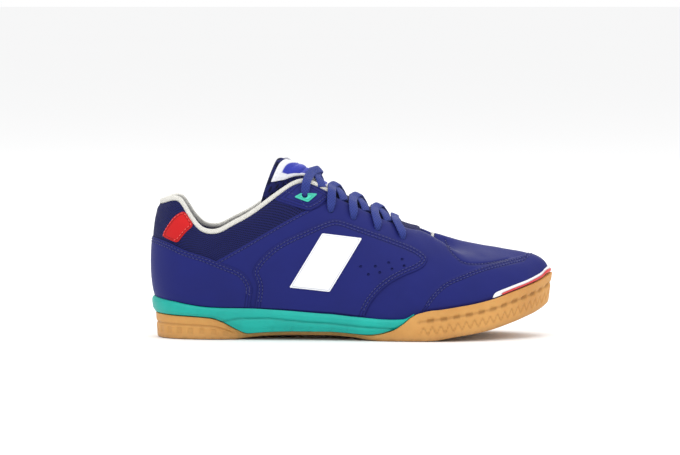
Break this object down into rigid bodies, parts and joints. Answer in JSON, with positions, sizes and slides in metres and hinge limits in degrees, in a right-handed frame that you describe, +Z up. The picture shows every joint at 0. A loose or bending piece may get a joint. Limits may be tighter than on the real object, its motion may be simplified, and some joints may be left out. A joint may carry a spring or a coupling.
{
  "type": "indoor soccer shoe",
  "caption": "Low-cut indoor soccer shoe with a flat gum sole, foam midsole, padded collar, laced throat and stitched side panels.",
  "frame": {"origin": "on the floor, under the middle of the shoe's bounding box", "axes": "+X to the toe, +Y to the inner side of the foot, +Z up"},
  "size_m": [0.291, 0.1029, 0.1288],
  "materials": {
    "gum_rubber": "matte gum rubber",
    "teal_foam": "moulded foam, satin",
    "navy_microfibre": "fine grained, matte",
    "navy_mesh": "padded mesh",
    "lining": "brushed lining",
    "white_binding": "knitted edge binding",
    "red_microfibre": "matte",
    "teal_patch": "matte",
    "white_film": "satin film",
    "toe_rubber": "matte",
    "red_film": "matte",
    "lace_blue": "flat braid",
    "label_blue": "woven"
  },
  "bodies": {
    "root": {"outsole": "gum_rubber", "midsole": "teal_foam", "insole": "lining", "upper": "navy_microfibre", "tongue": "navy_mesh", "tongue_label": "label_blue", "collar_binding": "white_binding", "throat_binding": "white_binding", "side_panel_lateral": "navy_microfibre", "side_panel_medial": "navy_microfibre", "heel_counter": "navy_microfibre", "heel_panel_lateral": "red_microfibre", "heel_panel_medial": "red_microfibre", "eyelet_tab_lateral": "navy_microfibre", "eyelet_tab_medial": "navy_microfibre", "eyelet_patch_lateral": "teal_patch", "eyelet_patch_medial": "teal_patch", "side_badge_lateral": "white_film", "side_badge_medial": "white_film", "toe_guard": "toe_rubber", "toe_guard_stripe": "red_film", "lace_crossing_1": "lace_blue", "lace_crossing_2": "lace_blue", "lace_crossing_3": "lace_blue", "lace_crossing_4": "lace_blue", "lace_bar": "lace_blue"}
  },
  "joints": []
}
